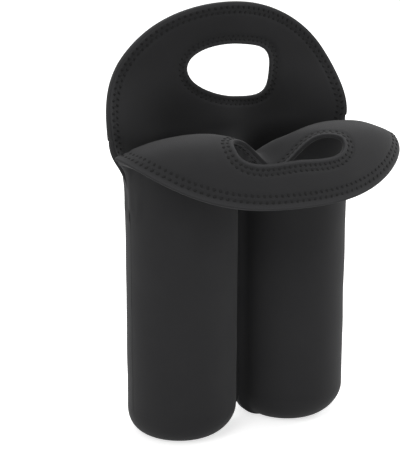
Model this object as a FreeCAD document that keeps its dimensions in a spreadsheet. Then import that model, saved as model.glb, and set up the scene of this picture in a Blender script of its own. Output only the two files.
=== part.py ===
import FreeCAD, Part
import math
import os
import Sketcher
from FreeCAD import Vector

# A soft carrier with two round pouches side by side, sewn from a front and a back panel.
# Each panel ends in a rounded lobe with a hand hole: the front lobe is folded forward
# over the pouches, and the back lobe stands upright.
# Lengths are in millimetres. X runs to the right, the front faces -Y and Z points up.

SIZES = {
    # Pouches
    "pouch_pitch": 98,
    "pouch_radius": 42,
    "fabric_thickness": 4,
    "bottom_round": 23,
    "web_fillet": 6,
    "seam_gap": 0.1,
    "mouth_start": 188,
    # Front lobe, folded forward over its ridge; reaches are measured forward of the side seams
    "ridge_reach": 46,
    "ridge_height": 252,
    "ridge_side_drop": 14,
    "hinge_reach": 52,
    "hinge_gap": 0.8,
    "valley_depth": 42,
    "valley_width": 24,
    "flap_half_width": 111,
    "rim_half_width": 116,
    "rim_root_reach": 15,
    "rim_tip_reach": 104,
    "rim_tip_height": 201,
    "rim_side_height": 233,
    "front_grip_half_width": 45,
    "front_grip_far_reach": 68,
    "front_grip_end_reach": 82,
    "front_grip_near_reach": 91,
    # Back lobe, upright; depths are measured backward of the side seams
    "lobe_base_height": 240,
    "lobe_centre_height": 248,
    "lobe_top_height": 337,
    "lobe_half_width": 105,
    "lobe_middle_depth": 25,
    "lobe_side_depth": 23,
    "corner_depth": 7,
    "side_settle_height": 55,
    "top_bow": 8,
    "top_bow_width": 45,
    "top_bow_height": 47,
    "pouch_push": 8,
    "pouch_push_width": 22,
    "centre_pull": 11,
    "centre_pull_width": 18,
    "lobe_settle_height": 40,
    "back_grip_half_width": 42,
    "back_grip_height": 41,
    "back_grip_top_margin": 34.5,
    # Sewing thread
    "thread_radius": 0.7,
    "stitch_length": 4,
    "stitch_pitch": 7,
    "rim_stitch_inset": 8,
    "grip_stitch_inset": 6,
    # How far a cutter runs past what it cuts
    "cut_overrun": 10,
}

# Powers of the curves below, and the shares of a span that their handles and fades take
RIM_PLAN_POWER = 1.5
RIM_FULLNESS_POWER = 0.24
RIM_RISE_POWER = 2.5
RIDGE_DROP_POWER = 4
CORNER_POWER = 4
FLAP_BEND_POWER = 5.6
VALLEY_FADE_SHARES = (0.15, 0.92)
GRIP_END_POWER = 0.75
GRIP_FLAT_END_POWER = 0.45
GRIP_SIDE_POWER = 0.8
MOUTH_RISE_SHARES = (0.6, 0.9)
MOUTH_RUN_SHARES = (0.44, 0.98)
BACK_RISE_SHARES = (0.55, 0.35)

# Sampling of the curved surfaces
WEB_STEPS = 2
FILLET_STEPS = 6
PIPE_STEPS = 22
WALL_ROWS = 14
MOUTH_ROWS = 12
FLAP_COLUMNS = 48
FLAP_ROWS = 14
LOBE_COLUMNS = 32
LOBE_ROWS = 12
GRIP_POINTS = 40
ROW_POINTS = 240

doc = FreeCAD.newDocument("bottle_carrier")
sheet = doc.addObject("Spreadsheet::Sheet", "sizes")
for row, (alias, value) in enumerate(SIZES.items(), start=1):
    sheet.set(f"A{row}", alias)
    sheet.set(f"B{row}", str(value))
    sheet.setAlias(f"B{row}", alias)
doc.recompute()
size = {alias: float(sheet.get(alias)) for alias in SIZES}

half_pitch = size["pouch_pitch"] / 2
fabric = size["fabric_thickness"]
lobe_rise = size["lobe_top_height"] - size["lobe_centre_height"]
# The whole carrier stands with its origin under the middle of its outline
seam_plane_y = (size["rim_tip_reach"] - size["pouch_radius"]) / 2
nodes = []


def smooth(value):
    """Rises from 0 to 1 with level ends."""
    value = min(max(value, 0), 1)
    return value * value * (3 - 2 * value)


def mix(first, second, share):
    return first + (second - first) * share


def signed_power(value, power):
    return math.copysign(abs(value) ** power, value)


def bezier(points, share):
    """A point of the cubic curve with these four control points."""
    rest = 1 - share
    weights = (rest ** 3, 3 * rest ** 2 * share, 3 * rest * share ** 2, share ** 3)
    total = Vector(0, 0, 0)
    for point, weight in zip(points, weights):
        total = total + point * weight
    return total


def add_node(name, shape):
    """A finished piece, moved from the side seams' plane to the carrier's own frame."""
    feature = doc.addObject("Part::Feature", name)
    feature.Label = name
    feature.Shape = shape
    feature.Placement = FreeCAD.Placement(Vector(0, seam_plane_y, 0), FreeCAD.Rotation())
    nodes.append(feature)
    return feature


# Fabric as a solid between two curved faces


def grid_normals(grid):
    """The unit normals of a grid of points, by differences between neighbours."""
    rows = len(grid)
    columns = len(grid[0])
    normals = []
    for i in range(rows):
        line = []
        for j in range(columns):
            along = grid[i][min(j + 1, columns - 1)] - grid[i][max(j - 1, 0)]
            across = grid[min(i + 1, rows - 1)][j] - grid[max(i - 1, 0)][j]
            normal = along.cross(across)
            line.append(normal / normal.Length)
        normals.append(line)
    return normals


def offset_grid(grid, distance):
    normals = grid_normals(grid)
    return [[point + normal * distance for point, normal in zip(*pair)] for pair in zip(grid, normals)]


def level_row(row, y=None, z=None):
    """The row with y or z of its points made equal, for a flat end."""
    levelled = []
    for point in row:
        levelled.append(Vector(point.x, point.y if y is None else y, point.z if z is None else z))
    return levelled


def curved_surface(grid):
    surface = Part.BSplineSurface()
    surface.interpolate(grid)
    return surface


def fabric_solid(grid, other_grid):
    """A solid panel between two grids of points that run side by side."""
    near = curved_surface(grid)
    far = curved_surface(other_grid)
    faces = [near.toShape(), far.toShape()]
    low_u, high_u, low_v, high_v = near.bounds()
    far_low_u, far_high_u, far_low_v, far_high_v = far.bounds()
    for here, there in ((low_u, far_low_u), (high_u, far_high_u)):
        faces.append(Part.makeRuledSurface(near.uIso(here).toShape(), far.uIso(there).toShape()))
    for here, there in ((low_v, far_low_v), (high_v, far_high_v)):
        faces.append(Part.makeRuledSurface(near.vIso(here).toShape(), far.vIso(there).toShape()))
    shell = Part.makeCompound(faces)
    shell.sewShape()
    solid = Part.Solid(shell.Shells[0])
    if solid.Volume < 0:
        solid.reverse()
    return solid


# Pouch section: a flat web at the centre seam, a fillet, and round to the side seam


def half_section(depth):
    """Points (x, reach) from the centre seam to the side seam, this deep in the fabric."""
    fillet = size["web_fillet"]
    rise = fabric + fillet
    run = math.sqrt((size["pouch_radius"] + fillet) ** 2 - rise ** 2)
    fillet_x = half_pitch - run
    meeting = math.atan2(rise, run)
    points = []
    for step in range(WEB_STEPS):
        points.append((fillet_x * step / WEB_STEPS, fabric - depth))
    for step in range(FILLET_STEPS):
        angle = mix(-math.pi / 2, -meeting, step / FILLET_STEPS)
        reach = rise + (fillet + depth) * math.sin(angle)
        points.append((fillet_x + (fillet + depth) * math.cos(angle), reach))
    for step in range(PIPE_STEPS + 1):
        angle = mix(math.pi - meeting, 0, step / PIPE_STEPS)
        radius = size["pouch_radius"] - depth
        points.append((half_pitch + radius * math.cos(angle), radius * math.sin(angle)))
    return points


def full_section(depth):
    right = half_section(depth)
    left = [(-x, reach) for x, reach in reversed(right[1:])]
    return left + right


def section_shares():
    """How far across the panel each point of the section lies, from -1 to 1."""
    points = full_section(0)
    lengths = [0]
    for first, second in zip(points, points[1:]):
        lengths.append(lengths[-1] + math.dist(first, second))
    return [2 * length / lengths[-1] - 1 for length in lengths]


# Front lobe: a height over the plan, with a ridge, a valley between the pouches and a bent-down rim


def rim_reach(x):
    share = min(abs(x) / size["rim_half_width"], 1)
    fullness = (1 - share ** RIM_PLAN_POWER) ** RIM_FULLNESS_POWER
    return mix(size["rim_root_reach"], size["rim_tip_reach"], fullness)


def flap_height(x, reach):
    share = min(abs(x) / size["rim_half_width"], 1)
    rim_height = mix(size["rim_tip_height"], size["rim_side_height"], share ** RIM_RISE_POWER)
    ridge_height = size["ridge_height"] - size["ridge_side_drop"] * share ** RIDGE_DROP_POWER
    span = rim_reach(x) - size["ridge_reach"]
    along = min(max((reach - size["ridge_reach"]) / span, 0), 1)
    valley = size["valley_depth"] * math.exp(-(x / size["valley_width"]) ** 2)
    bent = mix(rim_height, ridge_height, 1 - along ** FLAP_BEND_POWER)
    fade_start, fade_end = VALLEY_FADE_SHARES
    return bent - valley * (1 - smooth((along - fade_start) / (fade_end - fade_start)))


def flap_point(x, reach):
    return Vector(x, -reach, flap_height(x, reach))


def flap_slope(x, reach):
    """How fast the lobe climbs forward."""
    step = size["hinge_gap"]
    return (flap_height(x, reach + step) - flap_height(x, reach)) / step


# Back lobe: a depth behind the side seams over width and height


def lobe_depth(x, height):
    share = x / size["lobe_half_width"]
    above_base = height - size["lobe_base_height"]
    side_settled = smooth(above_base / size["side_settle_height"])
    side_depth = mix(size["corner_depth"], size["lobe_side_depth"], side_settled)
    depth = mix(size["lobe_middle_depth"], side_depth, share ** 2)
    # The pouches push its foot out, the centre seam pulls it in, and its top bows forward
    settled = smooth(above_base / size["lobe_settle_height"])
    pushed = size["pouch_push"] * math.exp(-((abs(x) - half_pitch) / size["pouch_push_width"]) ** 2)
    pulled = size["centre_pull"] * math.exp(-(x / size["centre_pull_width"]) ** 2)
    bow_start = size["lobe_top_height"] - size["top_bow_height"]
    bowed = size["top_bow"] * smooth((height - bow_start) / size["top_bow_height"])
    bowed = bowed * math.exp(-(x / size["top_bow_width"]) ** 2)
    return depth + (1 - settled) * (pushed - pulled) - bowed


def lobe_point(x, height):
    return Vector(x, lobe_depth(x, height), height)


# Pouch walls: straight round pouches, then a mouth that opens out to the lobes


def straight_rows(side, depth):
    rows = []
    for step in range(WALL_ROWS):
        height = mix(size["bottom_round"], size["mouth_start"], step / WALL_ROWS)
        line = []
        for x, reach in full_section(depth):
            line.append(Vector(x, side * (reach + size["seam_gap"]), height))
        rows.append(line)
    return rows


def front_mouth_rows():
    start = size["mouth_start"]
    rows = [[] for row in range(MOUTH_ROWS + 1)]
    for (x, reach), across in zip(full_section(fabric), section_shares()):
        outward = abs(across) ** CORNER_POWER
        foot = Vector(x, -reach - size["seam_gap"], start)
        top = flap_point(size["flap_half_width"] * across, size["hinge_reach"])
        rise = (top.z - start) * mix(*MOUTH_RISE_SHARES, outward)
        run = (size["hinge_reach"] - reach) * mix(*MOUTH_RUN_SHARES, outward)
        slope = flap_slope(top.x, size["hinge_reach"]) * (1 - outward)
        widening = (top.x - x) * outward / 2
        controls = (
            foot,
            foot + Vector(widening, 0, rise),
            top + Vector(0, run, -run * slope),
            top,
        )
        for row in range(MOUTH_ROWS + 1):
            rows[row].append(bezier(controls, row / MOUTH_ROWS))
    return rows


def back_mouth_rows():
    start = size["mouth_start"]
    drop = (size["lobe_centre_height"] - size["lobe_base_height"]) / lobe_rise
    foot_half_width = size["lobe_half_width"] * math.sqrt(1 - drop ** 2)
    rows = [[] for row in range(MOUTH_ROWS + 1)]
    for (x, reach), across in zip(full_section(fabric), section_shares()):
        foot = Vector(x, reach + size["seam_gap"], start)
        top = lobe_point(foot_half_width * across, size["lobe_base_height"])
        first_rise, last_rise = [Vector(0, 0, (top.z - start) * share) for share in BACK_RISE_SHARES]
        controls = (foot, foot + first_rise, top - last_rise, top)
        for row in range(MOUTH_ROWS + 1):
            rows[row].append(bezier(controls, row / MOUTH_ROWS))
    return rows


front_wall_inside = straight_rows(-1, fabric) + front_mouth_rows()
front_wall_outside = offset_grid(front_wall_inside, fabric)
front_wall_outside[-1] = level_row(front_wall_outside[-1], y=-size["hinge_reach"])
add_node("front_pouch_wall", fabric_solid(front_wall_inside, front_wall_outside))

back_wall_inside = straight_rows(1, fabric) + back_mouth_rows()
back_wall_outside = offset_grid(back_wall_inside, -fabric)
back_wall_outside[-1] = level_row(back_wall_outside[-1], z=size["lobe_base_height"])
add_node("back_pouch_wall", fabric_solid(back_wall_inside, back_wall_outside))


# Bases: round cups sewn into the lower ends of the pouches


def base_cup(name, side):
    body = doc.addObject("PartDesign::Body", name)
    body.Label = name
    sketch = body.newObject("Sketcher::SketchObject", name + "_profile")
    plane = next(item for item in body.Origin.OriginFeatures if item.Role == "XZ_Plane")
    sketch.AttachmentSupport = [(plane, "")]
    sketch.MapMode = "FlatFace"
    outer = size["pouch_radius"]
    rounding = size["bottom_round"]
    inner = outer - fabric
    flat = outer - rounding
    middle = Vector(flat, rounding, 0)
    upright = Vector(0, 0, 1)
    quarter = (-math.pi / 2, 0)
    bottom = sketch.addGeometry(Part.LineSegment(Vector(0, 0, 0), Vector(flat, 0, 0)))
    outside = sketch.addGeometry(Part.ArcOfCircle(Part.Circle(middle, upright, rounding), *quarter))
    lip = sketch.addGeometry(Part.LineSegment(Vector(outer, rounding, 0), Vector(inner, rounding, 0)))
    inside = sketch.addGeometry(Part.ArcOfCircle(Part.Circle(middle, upright, rounding - fabric), *quarter))
    floor = sketch.addGeometry(Part.LineSegment(Vector(flat, fabric, 0), Vector(0, fabric, 0)))
    axis = sketch.addGeometry(Part.LineSegment(Vector(0, fabric, 0), Vector(0, 0, 0)))
    start, end, centre = 1, 2, 3
    origin = (-1, 1)
    joins = (
        (bottom, end, outside, start),
        (outside, end, lip, start),
        (lip, end, inside, end),
        (inside, start, floor, start),
        (floor, end, axis, start),
        (axis, end, bottom, start),
        (outside, centre, inside, centre),
        (bottom, start, *origin),
    )
    for join in joins:
        sketch.addConstraint(Sketcher.Constraint("Coincident", *join))
    for line in (bottom, lip, floor):
        sketch.addConstraint(Sketcher.Constraint("Horizontal", line))
    sketch.addConstraint(Sketcher.Constraint("Vertical", axis))
    sketch.addConstraint(Sketcher.Constraint("Vertical", outside, centre, bottom, end))
    sketch.addConstraint(Sketcher.Constraint("Vertical", inside, centre, floor, start))
    sketch.addConstraint(Sketcher.Constraint("Horizontal", outside, centre, lip, start))
    measures = (
        (Sketcher.Constraint("DistanceX", *origin, lip, start, outer), "sizes.pouch_radius"),
        (Sketcher.Constraint("Radius", outside, rounding), "sizes.bottom_round"),
        (Sketcher.Constraint("DistanceY", *origin, floor, end, fabric), "sizes.fabric_thickness"),
    )
    for constraint, expression in measures:
        index = sketch.addConstraint(constraint)
        sketch.setExpression(f"Constraints[{index}]", expression)
    turn = body.newObject("PartDesign::Revolution", name + "_turn")
    turn.Profile = sketch
    turn.ReferenceAxis = (sketch, ["V_Axis"])
    turn.Angle = 360
    body.Tip = turn
    body.setExpression("Placement.Base.x", f"{side} * sizes.pouch_pitch / 2")
    body.setExpression("Placement.Base.y", "(sizes.rim_tip_reach - sizes.pouch_radius) / 2")
    nodes.append(body)


base_cup("left_base", -1)
base_cup("right_base", 1)


# Handles: the two lobes above the mouth, each with its hand hole cut through


def loop_face(points):
    curve = Part.BSplineCurve()
    curve.interpolate(points, PeriodicFlag=True)
    return Part.Face(Part.Wire(curve.toShape()))


def turns(count):
    return [2 * math.pi * step / count for step in range(count)]


def front_grip_point(angle, inset):
    """A point (x, reach) on the front hand hole's edge, or this far outside it."""
    x = (size["front_grip_half_width"] + inset) * signed_power(math.cos(angle), GRIP_END_POWER)
    lift = signed_power(math.sin(angle), GRIP_SIDE_POWER)
    edge = size["front_grip_near_reach"] if lift > 0 else size["front_grip_far_reach"]
    return x, size["front_grip_end_reach"] + (abs(edge - size["front_grip_end_reach"]) + inset) * lift


def back_grip_point(angle, inset):
    """A point (x, height) on the back hand hole's edge, flatter below, or this far outside it."""
    power = GRIP_END_POWER if math.sin(angle) > 0 else GRIP_FLAT_END_POWER
    x = (size["back_grip_half_width"] + inset) * signed_power(math.cos(angle), power)
    half_height = size["back_grip_height"] / 2
    middle = size["lobe_top_height"] - size["back_grip_top_margin"] - half_height
    return x, middle + (half_height + inset) * signed_power(math.sin(angle), GRIP_SIDE_POWER)


def lobe_edge_point(angle, inset):
    """A point (x, height) on the back lobe's outline, or this far inside it."""
    x = (size["lobe_half_width"] - inset) * math.cos(angle)
    return x, size["lobe_centre_height"] + (lobe_rise - inset) * math.sin(angle)


def add_blank(name, shape):
    blank = doc.addObject("Part::Feature", name)
    blank.Shape = shape
    return blank


def cut_node(name, base, tool):
    """A node that is one solid with a hole through it."""
    cut = doc.addObject("Part::Cut", name)
    cut.Label = name
    cut.Base = base
    cut.Tool = tool
    cut.setExpression("Placement.Base.y", "(sizes.rim_tip_reach - sizes.pouch_radius) / 2")
    nodes.append(cut)


front_rows = []
for row in range(FLAP_ROWS + 1):
    along = math.sin(math.pi / 2 * row / FLAP_ROWS)
    line = []
    for column in range(FLAP_COLUMNS + 1):
        x = size["flap_half_width"] * (2 * column / FLAP_COLUMNS - 1)
        line.append(flap_point(x, mix(size["hinge_reach"] + size["hinge_gap"], rim_reach(x), along)))
    front_rows.append(line)
front_underside = offset_grid(front_rows, fabric)
front_underside[0] = level_row(front_underside[0], y=-size["hinge_reach"] - size["hinge_gap"])
front_blank = add_blank("front_blank", fabric_solid(front_rows, front_underside))

front_cutter_foot = size["rim_tip_height"] - size["cut_overrun"] - size["valley_depth"]
front_hole = []
for angle in turns(GRIP_POINTS):
    x, reach = front_grip_point(angle, 0)
    front_hole.append(Vector(x, -reach, front_cutter_foot))
front_cutter_rise = size["ridge_height"] + size["cut_overrun"] - front_cutter_foot
front_cutter = add_blank("front_cutter", loop_face(front_hole).extrude(Vector(0, 0, front_cutter_rise)))
cut_node("front_handle_flap", front_blank, front_cutter)

back_rows = []
lobe_foot_height = size["lobe_base_height"] + size["hinge_gap"]
for row in range(LOBE_ROWS + 1):
    height = mix(lobe_foot_height, size["lobe_top_height"] + size["cut_overrun"], row / LOBE_ROWS)
    line = []
    for column in range(LOBE_COLUMNS + 1):
        span = size["lobe_half_width"] + size["cut_overrun"]
        line.append(lobe_point(span * (2 * column / LOBE_COLUMNS - 1), height))
    back_rows.append(line)
back_outside = offset_grid(back_rows, -fabric)
back_outside[0] = level_row(back_outside[0], z=lobe_foot_height)
back_panel = add_blank("back_panel", fabric_solid(back_rows, back_outside))

back_cutter_depth = size["lobe_middle_depth"] + size["pouch_push"] + fabric + size["cut_overrun"]
back_cutter_start = -size["cut_overrun"]
back_cutter_run = Vector(0, back_cutter_depth - back_cutter_start, 0)
lobe_outline = []
for angle in turns(GRIP_POINTS):
    x, height = lobe_edge_point(angle, 0)
    lobe_outline.append(Vector(x, back_cutter_start, height))
outline_prism = add_blank("outline_prism", loop_face(lobe_outline).extrude(back_cutter_run))
back_blank = doc.addObject("Part::Common", "back_blank")
back_blank.Base = back_panel
back_blank.Tool = outline_prism
back_hole = []
for angle in turns(GRIP_POINTS):
    x, height = back_grip_point(angle, 0)
    back_hole.append(Vector(x, back_cutter_start, height))
back_cutter = add_blank("back_cutter", loop_face(back_hole).extrude(back_cutter_run))
cut_node("back_handle_flap", back_blank, back_cutter)


# Sewing thread: short stitches half sunk in the fabric, one group for each seam or hem


def path_lengths(path):
    lengths = [0]
    for first, second in zip(path, path[1:]):
        lengths.append(lengths[-1] + (second - first).Length)
    return lengths


def path_point(path, lengths, length):
    """The point this far along a path."""
    index = 1
    while index < len(path) - 1 and lengths[index] < length:
        index += 1
    share = (length - lengths[index - 1]) / (lengths[index] - lengths[index - 1])
    return mix(path[index - 1], path[index], min(share, 1))


def stitch_group(name, *paths):
    """Stitches at an even pitch along each path of points."""
    stitches = []
    for path in paths:
        lengths = path_lengths(path)
        count = int((lengths[-1] - size["stitch_length"]) / size["stitch_pitch"]) + 1
        spare = lengths[-1] - size["stitch_length"] - (count - 1) * size["stitch_pitch"]
        for number in range(count):
            start = spare / 2 + number * size["stitch_pitch"]
            foot = path_point(path, lengths, start)
            run = path_point(path, lengths, start + size["stitch_length"]) - foot
            stitches.append(Part.makeCylinder(size["thread_radius"], run.Length, foot, run))
    add_node(name, Part.makeCompound(stitches))


def inset_reach(x, inset):
    """The reach on the front lobe that lies this far from the rim, along the fabric."""
    reach = rim_reach(x)
    step = (reach - size["hinge_reach"]) / ROW_POINTS
    walked = 0
    while walked < inset and reach - step > size["hinge_reach"]:
        walked += (flap_point(x, reach) - flap_point(x, reach - step)).Length
        reach -= step
    return reach


rim_row = []
for step in range(ROW_POINTS + 1):
    x = (size["flap_half_width"] - size["rim_stitch_inset"]) * (2 * step / ROW_POINTS - 1)
    rim_row.append(flap_point(x, inset_reach(x, size["rim_stitch_inset"])))
stitch_group("front_rim_stitches", rim_row)

grip_row = []
for angle in turns(ROW_POINTS):
    grip_row.append(flap_point(*front_grip_point(angle, size["grip_stitch_inset"])))
stitch_group("front_grip_stitches", grip_row)

lobe_row = []
for step in range(ROW_POINTS + 1):
    lobe_row.append(lobe_point(*lobe_edge_point(math.pi * step / ROW_POINTS, size["rim_stitch_inset"])))
stitch_group("back_rim_stitches", lobe_row)

back_grip_row = []
for angle in turns(ROW_POINTS):
    back_grip_row.append(lobe_point(*back_grip_point(angle, size["grip_stitch_inset"])))
stitch_group("back_grip_stitches", back_grip_row)

seam_face = fabric + size["seam_gap"]
seam_ends = (size["bottom_round"], size["mouth_start"])
front_seam = [Vector(0, -seam_face, height) for height in seam_ends]
back_seam = [Vector(0, seam_face, height) for height in seam_ends]
stitch_group("centre_seam_stitches", front_seam, back_seam)

for name, side in (("left", -1), ("right", 1)):
    side_x = side * (half_pitch + size["pouch_radius"])
    stitch_group(f"{name}_side_seam_stitches", [Vector(side_x, 0, height) for height in seam_ends])
    # The ring leaves out the stretch that faces the web between the pouches
    radius = size["pouch_radius"]
    half_ring = math.pi * (1 - size["web_fillet"] / radius)
    ring = []
    for step in range(ROW_POINTS + 1):
        angle = mix(-half_ring, half_ring, step / ROW_POINTS)
        x = side * (half_pitch + radius * math.cos(angle))
        ring.append(Vector(x, radius * math.sin(angle), size["bottom_round"]))
    stitch_group(f"{name}_base_seam_stitches", ring)

doc.recompute()
for item in doc.Objects:
    if "Invalid" in item.State or "Error" in item.State:
        raise RuntimeError(f"{item.Label} did not build")
for node in nodes:
    if node.Shape.isNull() or not node.Shape.isValid():
        raise RuntimeError(f"{node.Label} has no valid shape")
    print(node.Label, len(node.Shape.Solids), round(node.Shape.Volume), node.Shape.BoundBox)

os.makedirs("parts", exist_ok=True)
for node in nodes:
    node.Shape.exportStep(f"parts/{node.Label}.step")
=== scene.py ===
import math
from collections import namedtuple

import bpy
import numpy as np
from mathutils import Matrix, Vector, kdtree, noise


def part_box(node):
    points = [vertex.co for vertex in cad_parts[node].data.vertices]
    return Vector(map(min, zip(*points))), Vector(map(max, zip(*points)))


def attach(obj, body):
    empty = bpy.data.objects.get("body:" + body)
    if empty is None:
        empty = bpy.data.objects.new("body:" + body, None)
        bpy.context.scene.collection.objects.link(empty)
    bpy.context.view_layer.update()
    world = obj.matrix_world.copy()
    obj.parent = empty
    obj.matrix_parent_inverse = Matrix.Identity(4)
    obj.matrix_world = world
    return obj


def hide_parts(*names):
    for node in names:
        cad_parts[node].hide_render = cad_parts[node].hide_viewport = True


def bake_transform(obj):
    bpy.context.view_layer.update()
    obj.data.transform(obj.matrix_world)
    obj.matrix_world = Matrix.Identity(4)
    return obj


# A soft carrier with two round pouches side by side, a front handle folded forward and a back
# handle standing up. Lengths are in metres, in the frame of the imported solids.

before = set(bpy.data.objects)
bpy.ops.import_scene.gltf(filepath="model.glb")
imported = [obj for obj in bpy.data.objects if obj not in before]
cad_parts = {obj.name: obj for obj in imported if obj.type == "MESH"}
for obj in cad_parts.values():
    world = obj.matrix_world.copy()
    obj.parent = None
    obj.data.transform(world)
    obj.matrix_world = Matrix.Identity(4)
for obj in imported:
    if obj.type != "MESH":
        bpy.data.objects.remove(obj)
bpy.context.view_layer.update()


# Neoprene
# Foam rubber with black knitted jersey glued to both faces, the cloth of every panel.
# The jersey has fine upright wales, a soft matt nap and slow changes of tone; a painted highlight pales it
# along its turned edges.

fabric = 0.004
wale_width = 0.0007
course_height = 0.0006
nap_size = 0.0007
shade_size = 0.035
jersey_dark = (0.0155, 0.0155, 0.0165, 1)
jersey_light = (0.022, 0.022, 0.023, 1)
# Painted highlight: a paler colour along each turned edge, fading out over a narrow band.
painted_edge_highlight = (0.042, 0.042, 0.044, 1)
highlight_band_width = 0.0048
jersey_sheen = 0.07
sheen_roughness = 0.45
jersey_gloss = 0.25
nap_roughness = (0.78, 0.95)
knit_unevenness = 0.6
knit_detail = 1
wave_rate = 20
cloud_detail = 3.0
cloud_roughness = 0.55
jersey_bump = 0.14
bump_depth = 0.00025


def new_node(tree, kind, place, **inputs):
    """A node at a place in its tree, with values for its named inputs."""
    node = tree.nodes.new(kind)
    node.location = place
    for socket, value in inputs.items():
        node.inputs[socket].default_value = value
    return node


def cloth_shade_group():
    """Slow changes of tone over a cloth and its fine nap, from 0 to 1, that several finishes share."""
    group = bpy.data.node_groups.new("cloth_shade", "ShaderNodeTree")
    group.interface.new_socket("Patch Size", in_out="INPUT", socket_type="NodeSocketFloat")
    group.interface.new_socket("Nap Size", in_out="INPUT", socket_type="NodeSocketFloat")
    group.interface.new_socket("Tone", in_out="OUTPUT", socket_type="NodeSocketFloat")
    group.interface.new_socket("Nap", in_out="OUTPUT", socket_type="NodeSocketFloat")
    inlet = new_node(group, "NodeGroupInput", (-600, 0))
    outlet = new_node(group, "NodeGroupOutput", (600, 0))
    coordinates = new_node(group, "ShaderNodeTexCoord", (-600, 200))
    for name, row in (("Tone", 150), ("Nap", -150)):
        scale = new_node(group, "ShaderNodeMath", (-350, row))
        scale.operation = "DIVIDE"
        scale.inputs[0].default_value = 1
        size_name = "Patch Size" if name == "Tone" else "Nap Size"
        group.links.new(inlet.outputs[size_name], scale.inputs[1])
        cloud = new_node(group, "ShaderNodeTexNoise", (-100, row), Detail=cloud_detail)
        cloud.inputs["Roughness"].default_value = cloud_roughness
        group.links.new(coordinates.outputs["Object"], cloud.inputs["Vector"])
        group.links.new(scale.outputs[0], cloud.inputs["Scale"])
        group.links.new(cloud.outputs["Fac"], outlet.inputs[name])
    return group


cloth_shade = cloth_shade_group()


def jersey_material():
    """Black jersey: wales along the cloth's own map, nap, tone patches and a painted highlight along each
    turned edge.
    """
    material = bpy.data.materials.new("black_jersey")
    material.use_nodes = True
    tree = material.node_tree
    shader = tree.nodes["Principled BSDF"]
    shader.inputs["Sheen Weight"].default_value = jersey_sheen
    shader.inputs["Sheen Roughness"].default_value = sheen_roughness
    shader.inputs["Specular IOR Level"].default_value = jersey_gloss
    shade = new_node(tree, "ShaderNodeGroup", (-900, 200))
    shade.node_tree = cloth_shade
    shade.inputs["Patch Size"].default_value = shade_size
    shade.inputs["Nap Size"].default_value = nap_size
    # Colour: patches of tone, then a painted highlight that pales the cloth near the turned edge
    cloth_tone = new_node(tree, "ShaderNodeMix", (-450, 300))
    cloth_tone.data_type = "RGBA"
    cloth_tone.inputs["A"].default_value = jersey_dark
    cloth_tone.inputs["B"].default_value = jersey_light
    tree.links.new(shade.outputs["Tone"], cloth_tone.inputs["Factor"])
    edge = new_node(tree, "ShaderNodeAttribute", (-900, 500))
    edge.attribute_name = "edge_distance"
    highlight_share = new_node(tree, "ShaderNodeMapRange", (-650, 500))
    highlight_share.inputs["From Max"].default_value = highlight_band_width
    highlight_share.inputs["To Min"].default_value = 1
    highlight_share.inputs["To Max"].default_value = 0
    tree.links.new(edge.outputs["Fac"], highlight_share.inputs["Value"])
    highlighted_colour = new_node(tree, "ShaderNodeMix", (-200, 350))
    highlighted_colour.data_type = "RGBA"
    highlighted_colour.inputs["B"].default_value = painted_edge_highlight
    tree.links.new(highlight_share.outputs["Result"], highlighted_colour.inputs["Factor"])
    tree.links.new(cloth_tone.outputs["Result"], highlighted_colour.inputs["A"])
    tree.links.new(highlighted_colour.outputs["Result"], shader.inputs["Base Color"])
    # Roughness: it changes with the nap
    matt = new_node(tree, "ShaderNodeMapRange", (-450, 0))
    matt.inputs["To Min"].default_value = nap_roughness[0]
    matt.inputs["To Max"].default_value = nap_roughness[1]
    tree.links.new(shade.outputs["Nap"], matt.inputs["Value"])
    tree.links.new(matt.outputs["Result"], shader.inputs["Roughness"])
    # Relief: wales and courses of the knit on the cloth's own map, and the nap.
    # A wave texture turns by wave_rate radians in each unit of its scale.
    cloth_map = new_node(tree, "ShaderNodeUVMap", (-1100, -300))
    cloth_map.uv_map = "cloth"
    relief = None
    for direction, width, row in (("X", wale_width, -250), ("Y", course_height, -500)):
        wave = new_node(tree, "ShaderNodeTexWave", (-800, row), Scale=2 * math.pi / (wave_rate * width))
        wave.bands_direction = direction
        wave.inputs["Distortion"].default_value = knit_unevenness
        wave.inputs["Detail"].default_value = knit_detail
        tree.links.new(cloth_map.outputs["UV"], wave.inputs["Vector"])
        if relief is None:
            relief = wave.outputs["Fac"]
        else:
            total = new_node(tree, "ShaderNodeMath", (-550, -350))
            total.operation = "ADD"
            tree.links.new(relief, total.inputs[0])
            tree.links.new(wave.outputs["Fac"], total.inputs[1])
            relief = total.outputs[0]
    napped = new_node(tree, "ShaderNodeMath", (-350, -300))
    napped.operation = "ADD"
    tree.links.new(relief, napped.inputs[0])
    tree.links.new(shade.outputs["Nap"], napped.inputs[1])
    bump = new_node(tree, "ShaderNodeBump", (-150, -250), Strength=jersey_bump, Distance=bump_depth)
    tree.links.new(napped.outputs[0], bump.inputs["Height"])
    tree.links.new(bump.outputs["Normal"], shader.inputs["Normal"])
    return material


jersey = jersey_material()


# Front panel
# One cut of neoprene that wraps the front of both pouches, widens at the mouth and folds forward
# over a ridge into the front handle. Its free edges and its hand hole are turned and sewn, and its
# sides and middle are sewn to the back panel.

base_low, base_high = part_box("right_base")
half_pitch = (base_low.x + base_high.x) / 2
seam_y = (base_low.y + base_high.y) / 2
pouch_stretch = 0.0012
foot_radius = (base_high.x - base_low.x) / 2 + pouch_stretch
foot_height = base_high.z
mouth_start = 0.188
mouth_radius = 0.0437
crease_fillet = 0.006
seam_gap = 0.0001
ridge_reach = 0.0438
ridge_height = 0.2512
ridge_side_drop = 0.0164
side_lean = -0.016
hinge_lead = 0.005
dip_centre = -0.003
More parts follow.
